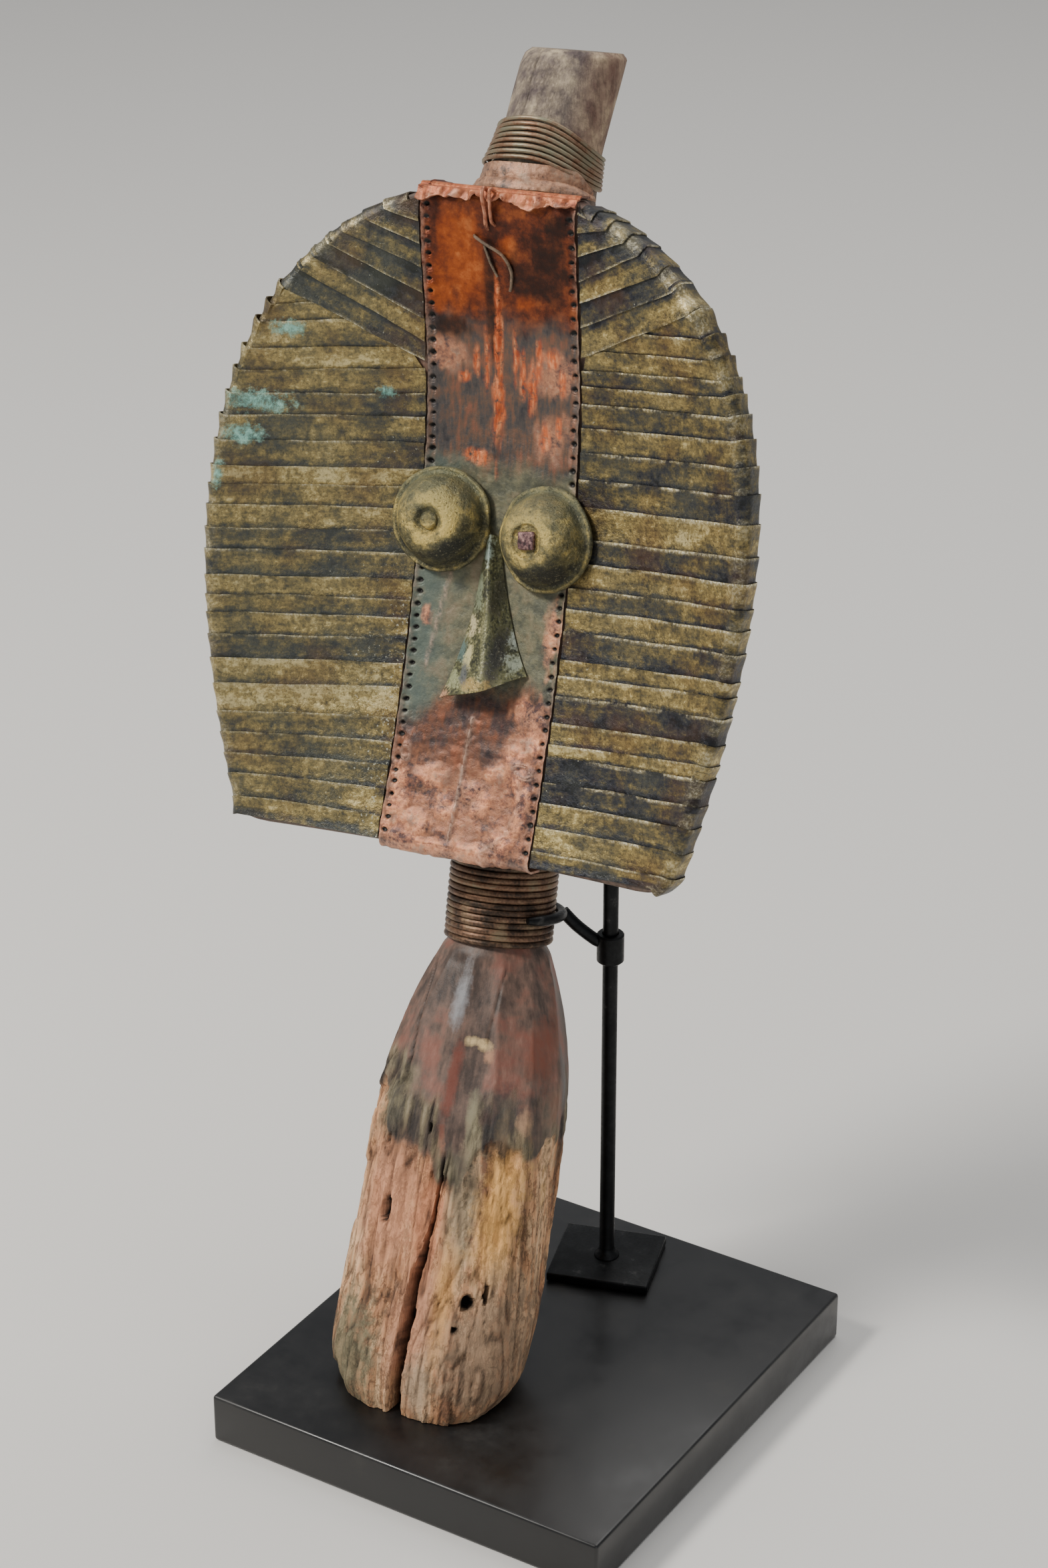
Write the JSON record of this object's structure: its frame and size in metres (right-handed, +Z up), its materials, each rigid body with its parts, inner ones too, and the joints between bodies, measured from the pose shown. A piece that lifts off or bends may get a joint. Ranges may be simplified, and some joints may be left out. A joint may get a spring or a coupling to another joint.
{
  "type": "kota reliquary guardian figure",
  "caption": "Leaning wooden guardian figure, its hollowed oval face clad in brass strips and a copper plate, with domed eyes and wire-bound neck and topknot, on a black slab, rod and cradle",
  "frame": {"origin": "middle of the flat underside of the stand's base slab", "axes": "+Z up, the face looks towards -Y and leans back, +X is to the right of a viewer who looks at the face"},
  "size_m": [0.2588, 0.2581, 0.5323],
  "materials": {
    "aged_wood": "dry, cracked and partly stained old hardwood",
    "strip_brass": "hammered and tarnished sheet with bright worn edges",
    "temple_brass": "blackened and tarnished sheet",
    "face_copper": "hammered copper sheet, worn orange over dark purple-brown",
    "eye_brass": "domed sheet, rubbed on its crown",
    "nose_brass": "folded sheet with grey-green patina",
    "nail_brass": "forged nail heads, dull",
    "binding_wire": "drawn copper wire, tarnished brown",
    "stand_steel": "black satin paint",
    "stand_lacquer": "black lacquered block with a fine bright edge"
  },
  "bodies": {
    "root": {"stand_base": "stand_lacquer", "stand_foot_plate": "stand_steel", "stand_rod": "stand_steel", "stand_neck_cradle": "stand_steel", "wood_core": "aged_wood", "face_plate": "face_copper", "nose": "nose_brass", "neck_wire": "binding_wire", "topknot_wire": "binding_wire", "eye_left": "eye_brass", "eye_nail_left": "nail_brass", "temple_strips_left": "temple_brass", "strip_left_01": "strip_brass", "strip_left_02": "strip_brass", "strip_left_03": "strip_brass", "strip_left_04": "strip_brass", "strip_left_05": "strip_brass", "strip_left_06": "strip_brass", "strip_left_07": "strip_brass", "strip_left_08": "strip_brass", "strip_left_09": "strip_brass", "strip_left_10": "strip_brass", "strip_left_11": "strip_brass", "strip_left_12": "strip_brass", "strip_left_13": "strip_brass", "strip_left_14": "strip_brass", "strip_left_15": "strip_brass", "strip_left_16": "strip_brass", "strip_left_17": "strip_brass", "strip_left_18": "strip_brass", "strip_left_19": "strip_brass", "strip_left_20": "strip_brass", "strip_left_21": "strip_brass", "strip_left_22": "strip_brass", "eye_right": "eye_brass", "eye_nail_right": "nail_brass", "temple_strips_right": "temple_brass", "strip_right_01": "strip_brass", "strip_right_02": "strip_brass", "strip_right_03": "strip_brass", "strip_right_04": "strip_brass", "strip_right_05": "strip_brass", "strip_right_06": "strip_brass", "strip_right_07": "strip_brass", "strip_right_08": "strip_brass", "strip_right_09": "strip_brass", "strip_right_10": "strip_brass", "strip_right_11": "strip_brass", "strip_right_12": "strip_brass", "strip_right_13": "strip_brass", "strip_right_14": "strip_brass", "strip_right_15": "strip_brass", "strip_right_16": "strip_brass", "strip_right_17": "strip_brass", "strip_right_18": "strip_brass", "strip_right_19": "strip_brass", "strip_right_20": "strip_brass", "strip_right_21": "strip_brass", "strip_right_22": "strip_brass"}
  },
  "joints": []
}
